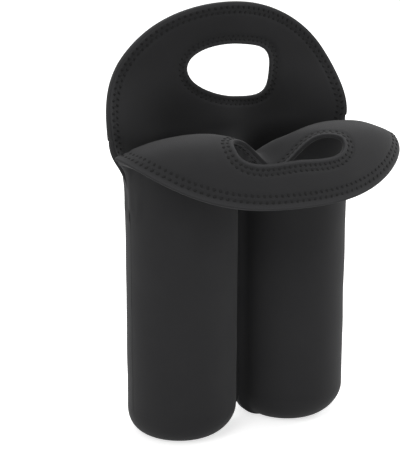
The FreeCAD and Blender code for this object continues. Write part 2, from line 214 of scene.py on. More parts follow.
# Each dip is a depth and a width
fold_dips = ((0.012, 0.032), (0.009, 0.0095))
hole_dip = (0.026, 0.021)
rim_half_width = 0.1168
rim_root_reach = 0.0282
rim_tip_reach = 0.1044
rim_tip_height = 0.2035
front_grip_half_width = 0.0445
front_grip_far_reach = 0.0695
front_grip_end_reach = 0.0815
front_grip_near_reach = 0.0920
front_grip_skew = 0.15
rim_plan_power = 2
rim_fullness_power = 0.40
rim_rise_power = 2.8
ridge_plan_power = 1.2
ridge_drop_power = 4.5
corner_power = 4
flap_bend_power = 5.6
dip_turn_share = 0.35
dip_fade_shares = (0.45, 0.78)
grip_end_power = 0.75
grip_side_power = 0.8
mouth_rise_shares = (0.6, 0.55)
mouth_run_shares = (0.4, 0.5)
tip_climb_share = 0.23
tip_spread_share = 0.5
web_steps = 2
fillet_steps = 5
pipe_steps = 44
wall_rows = 40
mouth_rows = 26
outline_steps = 400
rim_count = 220
handle_loops = 30
loop_crowding_share = 0.5
roll_steps = 5
edge_roll = 0.0018
roll_share = 0.6
roll_power = 0.5
hem_width = 0.0125
hem_swell = 0.0010
hem_fade = 0.003
groove_depth = 0.0006
groove_width = 0.0014
grip_press_share = 0.6
grip_press_width = 0.004
puff_height = 0.0005
puff_place = 0.003
puff_width = 0.002
front_rim_rows = (0.0058, 0.0106)
front_grip_rows = (0.0050, 0.0088)
ripple_height = 0.0005
ripple_size = 0.030
path_step = 0.0005
least_gap = 0.00005
map_stretch = 1.3
sharp_angle = math.radians(50)


def smooth(value):
    """Rises from 0 to 1 with level ends."""
    value = np.clip(value, 0, 1)
    return value * value * (3 - 2 * value)


def mix(first, second, share):
    return first + (second - first) * share


def signed_power(value, power):
    return np.sign(value) * np.abs(value) ** power


def pouch_line(radius, depth):
    """Points (x, reach) across both pouches from left to right, this deep in the fabric."""
    rise = fabric + crease_fillet
    run = math.sqrt((radius + crease_fillet) ** 2 - rise ** 2)
    crease_x = half_pitch - run
    meeting = math.atan2(rise, run)
    web_x = crease_x * np.arange(web_steps) / web_steps
    web = np.column_stack((web_x, np.full(web_steps, fabric - depth)))
    turn = np.linspace(-math.pi / 2, -meeting, fillet_steps, endpoint=False)
    bend = crease_fillet + depth
    crease = np.column_stack((crease_x + bend * np.cos(turn), rise + bend * np.sin(turn)))
    turn = np.linspace(math.pi - meeting, 0, pipe_steps + 1)
    inner = radius - depth
    pipe = np.column_stack((half_pitch + inner * np.cos(turn), inner * np.sin(turn)))
    right = np.vstack((web, crease, pipe))
    left = right[:0:-1] * (-1, 1)
    return np.vstack((left, right))


def path_lengths(path):
    steps = np.linalg.norm(np.diff(path, axis=0), axis=1)
    return np.concatenate(([0], np.cumsum(steps)))


def even_path(path, count, guide=None):
    """This many points at even steps along a path, measured on the guide if there is one."""
    lengths = path_lengths(path if guide is None else guide)
    wanted = np.linspace(0, lengths[-1], count)
    return np.column_stack([np.interp(wanted, lengths, column) for column in path.T])


def cloth_shares():
    """How far across the panel each point of the pouch line lies, from -1 to 1."""
    lengths = path_lengths(pouch_line(foot_radius, 0))
    return 2 * lengths / lengths[-1] - 1


def rim_reach(x):
    share = np.minimum(np.abs(x) / rim_half_width, 1)
    fullness = (1 - share ** rim_plan_power) ** rim_fullness_power
    return mix(rim_root_reach, rim_tip_reach, fullness)


def ridge_line(x):
    """The reach of the fold's ridge, which runs back to the rim's two ends."""
    share = np.minimum(np.abs(x) / rim_half_width, 1)
    return mix(ridge_reach, rim_root_reach, share ** ridge_plan_power)


def middle_dip(x, along):
    """How far the sewn middle pulls the handle down: softly at the fold, more behind the hand hole."""
    offset = x - dip_centre
    at_fold = sum(depth * np.exp(-(offset / width) ** 2) for depth, width in fold_dips)
    at_hole = hole_dip[0] * np.exp(-(offset / hole_dip[1]) ** 2)
    faded = smooth((along - dip_fade_shares[0]) / (dip_fade_shares[1] - dip_fade_shares[0]))
    return mix(at_fold, at_hole, smooth(along / dip_turn_share)) * (1 - faded)


def flap_height(x, reach):
    """Height of the front handle's upper face over the plan; it hangs lower on the right."""
    share = np.minimum(np.abs(x) / rim_half_width, 1)
    rim_height = mix(rim_tip_height, ridge_height - ridge_side_drop, share ** rim_rise_power)
    top_height = ridge_height - ridge_side_drop * share ** ridge_drop_power
    span = np.maximum(rim_reach(x) - ridge_line(x), path_step)
    along = np.clip((reach - ridge_line(x)) / span, 0, 1)
    bent = mix(rim_height, top_height, 1 - along ** flap_bend_power)
    return bent - middle_dip(x, along) + side_lean * x


def flap_points(plan):
    x, reach = plan.T
    return np.column_stack((x, seam_y - reach, flap_height(x, reach)))


def front_grip_plan(angle, inset):
    """Points (x, reach) on the front hand hole's edge, or this far outside it."""
    x = (front_grip_half_width + inset) * signed_power(np.cos(angle), grip_end_power)
    lift = signed_power(np.sin(angle), grip_side_power)
    edge = np.where(lift > 0, front_grip_near_reach, front_grip_far_reach)
    reach = front_grip_end_reach + (np.abs(edge - front_grip_end_reach) + inset) * lift
    return np.column_stack((x, reach + front_grip_skew * x * np.maximum(-lift, 0)))


def bezier_rows(first, second, third, last, count):
    """Rows of points on cubic curves, one curve for each column."""
    rows = []
    for share in np.linspace(0, 1, count + 1):
        rest = 1 - share
        start = first * rest ** 3 + second * (3 * rest ** 2 * share)
        rows.append(start + third * (3 * rest * share ** 2) + last * share ** 3)
    return rows


def pouch_rows(side):
    """The round part of a panel, from the foot to the mouth."""
    rows = []
    for share in np.arange(wall_rows) / wall_rows:
        line = pouch_line(mix(foot_radius, mouth_radius, share), fabric)
        height = np.full(len(line), mix(foot_height, mouth_start, share))
        rows.append(np.column_stack((line[:, 0], seam_y + side * (line[:, 1] + seam_gap), height)))
    return rows


def hinge_plan_line(across):
    """Points (x, reach) just ahead of the ridge, where the handle begins."""
    x = rim_half_width * across
    return np.column_stack((x, ridge_line(x) + hinge_lead * (1 - np.abs(across) ** corner_power)))


def front_mouth_rows(across):
    line = pouch_line(mouth_radius, fabric)
    outward = np.abs(across) ** corner_power
    foot = np.column_stack((line[:, 0], seam_y - line[:, 1] - seam_gap, np.full(len(line), mouth_start)))
    plan = hinge_plan_line(across)
    top = flap_points(plan)
    climb = top[:, 2] - mouth_start
    rise = climb * mix(*mouth_rise_shares, outward)
    run = (plan[:, 1] - line[:, 1]) * mix(*mouth_run_shares, outward)
    further = flap_points(plan + (0, path_step))
    slope = (further[:, 2] - top[:, 2]) / path_step * (1 - outward)
    spread = (top[:, 0] - line[:, 0]) * outward * tip_spread_share
    second = foot + np.column_stack((np.zeros(len(line)), np.zeros(len(line)), rise))
    third = top - np.column_stack((spread, -run, run * slope + climb * outward * tip_climb_share))
    return bezier_rows(foot, second, third, top, mouth_rows)


def loop_share(step):
    """How far in a loop of points lies; loops crowd a little towards the outline and the hole."""
    eased = (1 - math.cos(math.pi * step / handle_loops)) / 2
    return mix(step / handle_loops, eased, loop_crowding_share)


def handle_points(place, rim_plan, outer_plan, inner_plan):
    """A handle's points and loops of their numbers, from its outline in plan to its hand hole."""
    parts = [place(rim_plan)]
    loops = [np.concatenate((hinge_row, wall_count + np.arange(len(rim_plan))))]
    next_number = wall_count + len(rim_plan)
    for step in range(1, handle_loops + 1):
        parts.append(place(mix(outer_plan, inner_plan, loop_share(step))))
        loops.append(next_number + np.arange(len(outer_plan)))
        next_number += len(outer_plan)
    return np.vstack(parts), loops


def grid_faces(rows, columns):
    corner = np.arange((rows - 1) * columns).reshape(rows - 1, columns)[:, :-1].ravel()
    return np.column_stack((corner, corner + 1, corner + columns + 1, corner + columns))


def loop_faces(loops):
    """Quads between loops of point numbers, each loop inside the one before."""
    faces = []
    for outer, inner in zip(loops, loops[1:]):
        faces.append(np.column_stack((outer, np.roll(outer, -1), np.roll(inner, -1), inner)))
    return np.vstack(faces)


def point_normals(points, faces):
    corners = points[faces]
    facing = np.cross(corners[:, 2] - corners[:, 0], corners[:, 3] - corners[:, 1])
    total = np.zeros_like(points)
    for corner in range(4):
        np.add.at(total, faces[:, corner], facing)
    return total / np.linalg.norm(total, axis=1, keepdims=True)


def border_edges(faces):
    """The edges that only one quad has, in that quad's own direction."""
    edges = set()
    for corner in range(4):
        edges.update(zip(faces[:, corner].tolist(), faces[:, (corner + 1) % 4].tolist()))
    return sorted(edge for edge in edges if edge[::-1] not in edges)


def distance_to(points, path):
    """How far each point is from a path."""
    dense = even_path(path, int(path_lengths(path)[-1] / path_step) + 2)
    tree = kdtree.KDTree(len(dense))
    for number, point in enumerate(dense):
        tree.insert(point, number)
    tree.balance()
    return np.array([tree.find(point)[2] for point in points])


def rippled(points, normals, fade):
    """Soft unevenness of sewn cloth, in and out along its normals."""
    lift = np.array([noise.noise(Vector(point) / ripple_size) for point in points])
    return points + normals * (ripple_height * lift * fade)[:, None]


def cloth_piece(name, points, faces, point_map, edge_distance):
    """A smooth piece in jersey, with its cloth map and each point's distance from a turned edge."""
    mesh = bpy.data.meshes.new(name)
    mesh.from_pydata(points.tolist(), [], faces)
    mesh.shade_smooth()
    mesh.set_sharp_from_angle(angle=sharp_angle)
    layer = mesh.uv_layers.new(name="cloth")
    corners = np.zeros(len(mesh.loops), np.int32)
    mesh.loops.foreach_get("vertex_index", corners)
    layer.data.foreach_set("uv", point_map[corners].astype(np.float32).ravel())
    kept = mesh.attributes.new("edge_distance", "FLOAT", "POINT")
    kept.data.foreach_set("value", edge_distance.astype(np.float32))
    piece = bpy.data.objects.new(name, mesh)
    bpy.context.scene.collection.objects.link(piece)
    piece.data.materials.append(jersey)
    return piece


def sewn_panel(name, points, faces, inside, outside, bulge, cloth_map, edge_distance):
    """A closed piece of cloth: inside face, outside face, and rolled edges between the two."""
    normals = point_normals(points, faces)
    near = points + normals * inside[:, None]
    far = points + normals * outside[:, None]
    count = len(points)
    borders = border_edges(faces)
    outward = np.zeros_like(points)
    for first, second in borders:
        for end in (first, second):
            outward[end] += np.cross(points[second] - points[first], normals[end])
    rings = {}
    rolled = []
    sources = list(range(count)) * 2
    for number in sorted({first for first, second in borders}):
        middle = (near[number] + far[number]) / 2
        half = (far[number] - near[number]) / 2
        proud = outward[number] / np.linalg.norm(outward[number])
        proud = proud * np.linalg.norm(half) * bulge[number] * roll_share
        ring = [number]
        for step in range(1, roll_steps + 1):
            angle = math.pi * step / (roll_steps + 1)
            ring.append(2 * count + len(rolled))
            rise = math.copysign(abs(math.cos(angle)) ** roll_power, math.cos(angle))
            rolled.append(middle - half * rise + proud * math.sin(angle) ** roll_power)
            sources.append(number)
        rings[number] = ring + [number + count]
    quads = faces[:, ::-1].tolist() + (faces + count).tolist()
    for first, second in borders:
        for step in range(roll_steps + 1):
            left, right = rings[first], rings[second]
            quads.append([left[step], right[step], right[step + 1], left[step + 1]])
    # The rolled edge's own points sit at the far side of the painted highlight's band, so the highlight
    # lies on the faces beside the edge.
    shown_distance = np.concatenate((edge_distance, edge_distance, np.full(len(rolled), highlight_band_width)))
    points = np.vstack((near, far, rolled))
    piece = cloth_piece(name, points, quads, cloth_map[np.array(sources)], shown_distance)
    return piece, near, far, normals


def hem_relief(distance, rows):
    """How deep the sewing pulls the cloth in at this distance from a turned edge."""
    depth = -puff_height * np.exp(-((distance - puff_place) / puff_width) ** 2)
    for row in rows:
        depth = depth + groove_depth * np.exp(-((distance - row) / groove_width) ** 2)
    return depth


def pressed_share(distance):
    """How much of its thickness the cloth keeps at this distance from a hand hole's sewn edge."""
    return 1 - grip_press_share * np.exp(-(distance / grip_press_width) ** 2)


Panel = namedtuple("Panel", "piece loops rim_gap rim_rows grip_gap grip_rows near far normals")


def finished_panel(name, wall, handle, loops, facing, rim_rows, grip_rows, handle_run):
    """A panel with its rim and hand hole turned and sewn. Facing is 1, or -1 for faces turned over,
    and the handle's part of the cloth map runs along (axis, direction, start)."""
    points = np.vstack(wall + [handle])
    faces = np.vstack((grid_faces(len(wall), columns), loop_faces(loops)))[:, ::facing]
    # Turned edges: the mouth's two sides with the rim between them, and the hand hole
    rim_order = np.concatenate((mouth_left, loops[0][:columns - 1:-1], mouth_right[::-1]))
    rim_gap = distance_to(points, points[rim_order]) + edge_roll
    grip_loop = points[np.append(loops[-1], loops[-1][0])]
    grip_gap = distance_to(points, grip_loop) + edge_roll
    edge_gap = np.minimum(rim_gap, grip_gap)
    relief = hem_relief(rim_gap, rim_rows) + hem_relief(grip_gap, grip_rows)
    swell = hem_swell * (1 - smooth((edge_gap - hem_width) / hem_fade))
    thickness = (fabric + swell - relief) * pressed_share(grip_gap)
    level = smooth((points[:, 2] - foot_height) / ripple_size)
    points = rippled(points, point_normals(points, faces), level)
    # The foot and the side seams are sewn flush, so they have no rolled edge
    seam_start = np.arange(wall_rows) * columns
    bulge = np.ones(len(points))
    bulge[:columns] = 0
    bulge[seam_start] = 0
    bulge[seam_start + columns - 1] = 0
    # The cloth's own map: across the panel, and along it from the foot to the rim
    wall_map = np.zeros((len(wall), columns, 2))
    wall_map[:, :, 0] = across * (half_pitch + foot_radius) * math.pi / 2
    wall_map[1:, :, 1] = np.cumsum(np.linalg.norm(np.diff(np.array(wall), axis=0), axis=2), axis=0)
    axis, direction, start = handle_run
    along = direction * (points[wall_count:, axis] - start) + wall_map[-1, :, 1].mean()
    handle_map = np.column_stack((points[wall_count:, 0] * map_stretch, along))
    cloth_map = np.vstack((wall_map.reshape(-1, 2), handle_map))
    piece, near, far, normals = sewn_panel(
        name, points, faces, relief, thickness, bulge, cloth_map, edge_gap)
    return Panel(piece, loops, rim_gap, rim_rows, grip_gap, grip_rows, near, far, normals)


def ladder_row(ladders, distance, wanted, surface, normals):
    """The line on a panel's face this far from an edge, found along ladders of point numbers."""
    places = []
    facings = []
    for ladder in ladders:
        gaps = distance[ladder]
        upper = max(1, int(np.argmax(gaps >= wanted)))
        share = (wanted - gaps[upper - 1]) / max(gaps[upper] - gaps[upper - 1], least_gap)
        share = min(max(share, 0), 1)
        places.append(mix(surface[ladder[upper - 1]], surface[ladder[upper]], share))
        facings.append(mix(normals[ladder[upper - 1]], normals[ladder[upper]], share))
    return np.array(places), np.array(facings)


across = cloth_shares()
columns = len(across)
front_wall = pouch_rows(-1) + front_mouth_rows(across)
wall_count = len(front_wall) * columns
hinge_row = np.arange(wall_count - columns, wall_count)
mouth_left = np.arange(wall_rows, len(front_wall)) * columns
mouth_right = mouth_left + columns - 1

# The handle lies between its outline in plan and the hand hole
hinge_plan = hinge_plan_line(across)
rim_x = rim_half_width * np.sin(np.linspace(math.pi / 2, -math.pi / 2, outline_steps))
rim_plan = np.column_stack((rim_x, rim_reach(rim_x)))
rim_plan = np.vstack((hinge_plan[-1:], rim_plan, hinge_plan[:1]))
rim_plan = even_path(rim_plan, rim_count + 2, flap_points(rim_plan))[1:-1]
outer_plan = np.vstack((hinge_plan, rim_plan))
lean = outer_plan - (0, front_grip_end_reach)
far_span = front_grip_end_reach - front_grip_far_reach
turn_angle = np.arctan2(lean[:, 1] / far_span, lean[:, 0] / front_grip_half_width)
inner_plan = front_grip_plan(turn_angle, edge_roll)
front_flap, front_loops = handle_points(flap_points, rim_plan, outer_plan, inner_plan)
flap_run = (1, -1, seam_y - ridge_reach)
front_cloth = finished_panel(
    "front_panel", front_wall, front_flap, front_loops, 1, front_rim_rows, front_grip_rows, flap_run)
front_panel = front_cloth.piece
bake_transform(front_panel)
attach(front_panel, "pouches")
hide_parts("front_pouch_wall", "front_handle_flap")


# Back panel
# A second cut of the same neoprene that closes both pouches from behind and stands up above them
# as the back handle, a rounded lobe with a hand hole. Its edges are turned and sewn like the front's.

lobe_base_height = 0.240
lobe_centre_height = 0.2482
lobe_top_height = 0.3372
lobe_half_width = 0.1051
lobe_middle_depth = 0.025
lobe_side_depth = 0.023
corner_depth = 0.0068
side_settle_height = 0.055
top_bow = 0.008
top_bow_width = 0.045
top_bow_height = 0.047
lobe_foot_half_width = 0.1019
pouch_push = 0.005
pouch_push_width = 0.022
centre_pull = 0.007
centre_pull_width = 0.018
lobe_settle_height = 0.040
back_grip_centre = 0.012
back_grip_half_widths = (0.0292, 0.042)
back_grip_bottom = 0.2625
back_grip_top = 0.3014
back_grip_turn = 0.13
back_rise_shares = (0.55, 0.35)
back_corner_rise_shares = (0.72, 0.32)
back_grip_powers = (0.61, 0.50, 1.0)
lobe_start_share = 0.9
back_rim_rows = (0.0040, 0.0080)
back_grip_rows = (0.0044, 0.0075)


def lobe_depth(x, height):
    """How far the back handle stands behind the side seams."""
    above_base = height - lobe_base_height
    side_depth = mix(corner_depth, lobe_side_depth, smooth(above_base / side_settle_height))
    depth = mix(lobe_middle_depth, side_depth, (x / lobe_half_width) ** 2)
    # The pouches push its foot out, the centre seam pulls it in, and its top bows forward
    settled = smooth(above_base / lobe_settle_height)
    pushed = np.exp(-((np.abs(x) - half_pitch) / pouch_push_width) ** 2)
    pulled = np.exp(-(x / centre_pull_width) ** 2)
    bowed = smooth((height - lobe_top_height) / top_bow_height + 1) * np.exp(-(x / top_bow_width) ** 2)
    return depth + (1 - settled) * (pouch_push * pushed - centre_pull * pulled) - top_bow * bowed


def lobe_points(plan):
    x, height = plan.T
    return np.column_stack((x, seam_y + lobe_depth(x, height), height))


def back_grip_plan(angle, inset):
    """Points (x, height) on the back hand hole's edge, or this far outside it; pulled askew in use."""
    rightward = np.cos(angle) > 0
    upper_right, lower_right, left = back_grip_powers
    power = np.where(rightward, np.where(np.sin(angle) > 0, upper_right, lower_right), left)
    x = (np.where(rightward, *back_grip_half_widths) + inset) * signed_power(np.cos(angle), power)
    half_height = (back_grip_top - back_grip_bottom) / 2
    lift = (half_height + inset) * signed_power(np.sin(angle), power)
    turned_x = x + back_grip_turn * lift
    turned_lift = lift - back_grip_turn * x
    return np.column_stack((back_grip_centre + turned_x, grip_middle + turned_lift))


def back_mouth_rows(across, lobe_foot):
    line = pouch_line(mouth_radius, fabric)
    foot = np.column_stack((line[:, 0], seam_y + line[:, 1] + seam_gap, np.full(len(line), mouth_start)))
    top = lobe_points(lobe_foot)
    outward = np.abs(across) ** corner_power
    rises = []
    for middle_share, corner_share in zip(back_rise_shares, back_corner_rise_shares):
        rise = (lobe_base_height - mouth_start) * mix(middle_share, corner_share, outward)
        rises.append(np.column_stack((np.zeros((len(line), 2)), rise)))
    return bezier_rows(foot, foot + rises[0], top - rises[1], top, mouth_rows)


lobe_foot = np.column_stack((lobe_foot_half_width * across, np.full(columns, lobe_base_height)))
back_wall = pouch_rows(1) + back_mouth_rows(across, lobe_foot)
lobe_rise = lobe_top_height - lobe_centre_height - edge_roll
dip = math.asin((lobe_centre_height - lobe_base_height) / lobe_rise) * lobe_start_share
turn = np.linspace(-dip, math.pi + dip, outline_steps)
lobe_x = (lobe_half_width - edge_roll) * np.cos(turn)
lobe_plan = np.column_stack((lobe_x, lobe_centre_height + lobe_rise * np.sin(turn)))
lobe_plan = np.vstack((lobe_foot[-1:], lobe_plan, lobe_foot[:1]))
lobe_plan = even_path(lobe_plan, rim_count + 2, lobe_points(lobe_plan))[1:-1]
outer_plan = np.vstack((lobe_foot, lobe_plan))
grip_middle = (back_grip_top + back_grip_bottom) / 2
lean = outer_plan - (back_grip_centre, grip_middle)
grip_span = (sum(back_grip_half_widths), back_grip_top - back_grip_bottom)
turn_angle = np.arctan2(lean[:, 1] / grip_span[1], lean[:, 0] / grip_span[0])
inner_plan = back_grip_plan(turn_angle, edge_roll)
back_lobe, back_loops = handle_points(lobe_points, lobe_plan, outer_plan, inner_plan)
lobe_run = (2, 1, lobe_base_height)
back_cloth = finished_panel(
    "back_panel", back_wall, back_lobe, back_loops, -1, back_rim_rows, back_grip_rows, lobe_run)
back_panel = back_cloth.piece
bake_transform(back_panel)
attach(back_panel, "pouches")
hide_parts("back_pouch_wall", "back_handle_flap")


# Pouch bottoms
# Two round cups of the same neoprene that close the pouches. Each is sewn edge to edge
# into its pouch and pulled round by what it carries.

foot_rounds = (0.022, 0.0245)
foot_lean = -0.0022
cup_round_steps = 18
cup_flat_steps = 8


def cup_rings(foot_round):
    """Shares of the outline and heights, from under the middle out, over the lip and back inside."""
    rings = []
    for depth in (0, fabric):
        radius = foot_radius - depth
        bend = foot_round - depth
        flat = radius - bend
        level = [(flat * step / cup_flat_steps, depth) for step in range(1, cup_flat_steps)]
        turn = np.linspace(-math.pi / 2, 0, cup_round_steps + 1)
        corner = np.column_stack((flat + bend * np.cos(turn), foot_round + bend * np.sin(turn)))
        rings.append(np.vstack((level, corner, (radius, foot_height))))
    rings = np.vstack((rings[0], rings[1][::-1]))
    return rings[:, 0] / foot_radius, rings[:, 1]


def pouch_bottom(name, side):
    """A closed cup under one pouch: rings of the pouch's own outline about its middle."""
    line = pouch_line(foot_radius, 0)
    half = line[len(line) // 2:] + (seam_gap, 0)
    outline = np.vstack((half * (1, -1), half[-2::-1])) - (half_pitch, 0)
    outline = outline[::side] * (side, 1)
    turns = len(outline)
    shares, heights = cup_rings(foot_rounds[side > 0])
    middle = np.array((side * half_pitch, seam_y))
    points = [np.append(middle, 0)[None]]
    for share, height in zip(shares, heights):
        points.append(np.column_stack((middle + outline * share, np.full(turns, height))))
    points = np.vstack(points + [np.append(middle, fabric)[None]])
    points[:, 0] += foot_lean * smooth(1 - points[:, 2] / foot_height)
    faces = []
    last = 1 + (len(shares) - 1) * turns
    for turn in range(turns):
        following = (turn + 1) % turns
        faces.append([0, 1 + following, 1 + turn])
        for low in range(1, last, turns):
            faces.append([low + turn, low + following, low + turns + following, low + turns + turn])
        faces.append([last + turn, last + following, len(points) - 1])
    piece = cloth_piece(name, points, faces, points[:, :2], np.full(len(points), foot_radius))
    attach(piece, "pouches")
    return piece


left_bottom = pouch_bottom("left_pouch_bottom", -1)
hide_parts("left_base")
right_bottom = pouch_bottom("right_pouch_bottom", 1)
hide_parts("right_base")


# Sewing thread
# Black sewing thread. The turned edges are held by a zigzag of two needle rows on both faces,
# and the seams of the pouches by plain stitches that sink into the cloth.

thread_radius = 0.00025
thread_arch = 0.0002
thread_sink = 0.0004
# Radii of the dark dots in the thread's colour at the needle holes: painted shade of the holes.
needle_dot_radius = 0.0014
small_needle_dot_radius = 0.0010
seam_dot_radius = 0.0003
rim_pitch = 0.0050
front_grip_pitch = 0.0044
back_grip_pitch = 0.0040
seam_pitch = 0.007
seam_stitch = 0.004
side_ladder_steps = 20
sewn_mouth_rows = 19
base_seam_share = 0.86
base_seam_steps = 200
# Shape of those painted shade dots, as shares of their radius, flattened against the cloth.
shade_dot_shares = (1.2, 0.85, 0.4)
thread_black = (0.0108, 0.0108, 0.0110, 1)
thread_grey = (0.0185, 0.0185, 0.0188, 1)
thread_roughness = 0.8
thread_gloss = 0.15
thread_patch_size = 0.004
thread_nap_size = 0.0002
thread_bump = 0.4
thread_bump_depth = 0.0001


def thread_material():
    material = bpy.data.materials.new("black_thread")
    material.use_nodes = True
    tree = material.node_tree
    shader = tree.nodes["Principled BSDF"]
    shader.inputs["Roughness"].default_value = thread_roughness
    shader.inputs["Specular IOR Level"].default_value = thread_gloss
    shade = new_node(tree, "ShaderNodeGroup", (-700, 100))
    shade.node_tree = cloth_shade
    shade.inputs["Patch Size"].default_value = thread_patch_size
    shade.inputs["Nap Size"].default_value = thread_nap_size
    tone = new_node(tree, "ShaderNodeMix", (-350, 150))
    tone.data_type = "RGBA"
    tone.inputs["A"].default_value = thread_black
    tone.inputs["B"].default_value = thread_grey
    tree.links.new(shade.outputs["Tone"], tone.inputs["Factor"])
    tree.links.new(tone.outputs["Result"], shader.inputs["Base Color"])
    bump = new_node(tree, "ShaderNodeBump", (-300, -200), Strength=thread_bump)
    bump.inputs["Distance"].default_value = thread_bump_depth
    tree.links.new(shade.outputs["Nap"], bump.inputs["Height"])
    tree.links.new(bump.outputs["Normal"], shader.inputs["Normal"])
    return material


thread = thread_material()


def stitch_tree():
    """Geometry nodes that lay one arched bit of thread on each point, and a dark dot in the thread's colour
    at its start, painted shade of the needle hole.
    """
    tree = bpy.data.node_groups.new("thread_stitches", "GeometryNodeTree")
    tree.interface.new_socket("Geometry", in_out="INPUT", socket_type="NodeSocketGeometry")
    for name in ("Thread Radius", "Arch Height", "Sink Depth", "Shade Dot Radius"):
        tree.interface.new_socket(name, in_out="INPUT", socket_type="NodeSocketFloat")
    tree.interface.new_socket("Thread", in_out="INPUT", socket_type="NodeSocketMaterial")
    tree.interface.new_socket("Geometry", in_out="OUTPUT", socket_type="NodeSocketGeometry")
    inlet = new_node(tree, "NodeGroupInput", (-1000, 0))
    outlet = new_node(tree, "NodeGroupOutput", (900, 0))
    leg = new_node(tree, "GeometryNodeInputNamedAttribute", (-1000, -300), Name="leg")
    leg.data_type = "FLOAT_VECTOR"
    lift = new_node(tree, "GeometryNodeInputNamedAttribute", (-1000, -500), Name="lift")
    lift.data_type = "FLOAT_VECTOR"
    # Turn each stitch along its leg and face it off the cloth
    along = new_node(tree, "FunctionNodeAlignRotationToVector", (-700, -300))
    along.axis = "X"
    facing = new_node(tree, "FunctionNodeAlignRotationToVector", (-450, -400))
    facing.axis = "Z"
    facing.pivot_axis = "X"
    tree.links.new(leg.outputs["Attribute"], along.inputs["Vector"])
    tree.links.new(along.outputs["Rotation"], facing.inputs["Rotation"])
    tree.links.new(lift.outputs["Attribute"], facing.inputs["Vector"])
    length = new_node(tree, "ShaderNodeVectorMath", (-700, -600))
    length.operation = "LENGTH"
    tree.links.new(leg.outputs["Attribute"], length.inputs[0])
    stretch = new_node(tree, "ShaderNodeCombineXYZ", (-450, -600), Y=1.0, Z=1.0)
    tree.links.new(length.outputs["Value"], stretch.inputs["X"])
    # One stitch: an arch of thread, a unit long, that dives into the cloth at both ends
    sunk = new_node(tree, "ShaderNodeMath", (-800, 250))
    sunk.operation = "MULTIPLY"
    sunk.inputs[1].default_value = -1
    tree.links.new(inlet.outputs["Sink Depth"], sunk.inputs[0])
    arch = new_node(tree, "GeometryNodeCurveQuadraticBezier", (-300, 300), Resolution=6)
    for socket, x, source in (("Start", -0.5, sunk.outputs[0]), ("Middle", 0, inlet.outputs["Arch Height"]),
                              ("End", 0.5, sunk.outputs[0])):
        place = new_node(tree, "ShaderNodeCombineXYZ", (-550, 300 + 150 * x), X=x)
        tree.links.new(source, place.inputs["Z"])
        tree.links.new(place.outputs[0], arch.inputs[socket])
    round_section = new_node(tree, "GeometryNodeCurvePrimitiveCircle", (-300, 100), Resolution=6)
    tree.links.new(inlet.outputs["Thread Radius"], round_section.inputs["Radius"])
    bar = new_node(tree, "GeometryNodeCurveToMesh", (-50, 250))
    bar.inputs["Fill Caps"].default_value = True
    tree.links.new(arch.outputs["Curve"], bar.inputs["Curve"])
    tree.links.new(round_section.outputs["Curve"], bar.inputs["Profile Curve"])
    stitches = new_node(tree, "GeometryNodeInstanceOnPoints", (200, 100))
    tree.links.new(inlet.outputs["Geometry"], stitches.inputs["Points"])
    tree.links.new(bar.outputs["Mesh"], stitches.inputs["Instance"])
    tree.links.new(facing.outputs["Rotation"], stitches.inputs["Rotation"])
    tree.links.new(stretch.outputs[0], stitches.inputs["Scale"])
    # A dark dot where the needle went in, at the start of each leg: painted shade of the needle hole, a
    # flattened ball in the thread's colour
    back = new_node(tree, "ShaderNodeVectorMath", (-450, -150))
    back.operation = "SCALE"
    back.inputs["Scale"].default_value = -0.5
    tree.links.new(leg.outputs["Attribute"], back.inputs[0])
    moved = new_node(tree, "GeometryNodeSetPosition", (-50, -100))
    tree.links.new(inlet.outputs["Geometry"], moved.inputs["Geometry"])
    tree.links.new(back.outputs[0], moved.inputs["Offset"])
    shade_dot = new_node(tree, "GeometryNodeMeshUVSphere", (-50, -300), Segments=8, Rings=5)
    tree.links.new(inlet.outputs["Shade Dot Radius"], shade_dot.inputs["Radius"])
    shade_dots = new_node(tree, "GeometryNodeInstanceOnPoints", (200, -200))
    shade_dots.inputs["Scale"].default_value = shade_dot_shares
    tree.links.new(moved.outputs["Geometry"], shade_dots.inputs["Points"])
    tree.links.new(shade_dot.outputs["Mesh"], shade_dots.inputs["Instance"])
    tree.links.new(facing.outputs["Rotation"], shade_dots.inputs["Rotation"])
    joined = new_node(tree, "GeometryNodeJoinGeometry", (400, 0))
    tree.links.new(stitches.outputs["Instances"], joined.inputs["Geometry"])
    tree.links.new(shade_dots.outputs["Instances"], joined.inputs["Geometry"])
    real = new_node(tree, "GeometryNodeRealizeInstances", (550, 0))
    painted = new_node(tree, "GeometryNodeSetMaterial", (720, 0))
    tree.links.new(joined.outputs["Geometry"], real.inputs["Geometry"])
    tree.links.new(real.outputs["Geometry"], painted.inputs["Geometry"])
    tree.links.new(inlet.outputs["Thread"], painted.inputs["Material"])
    tree.links.new(painted.outputs["Geometry"], outlet.inputs["Geometry"])
    return tree


stitching = stitch_tree()


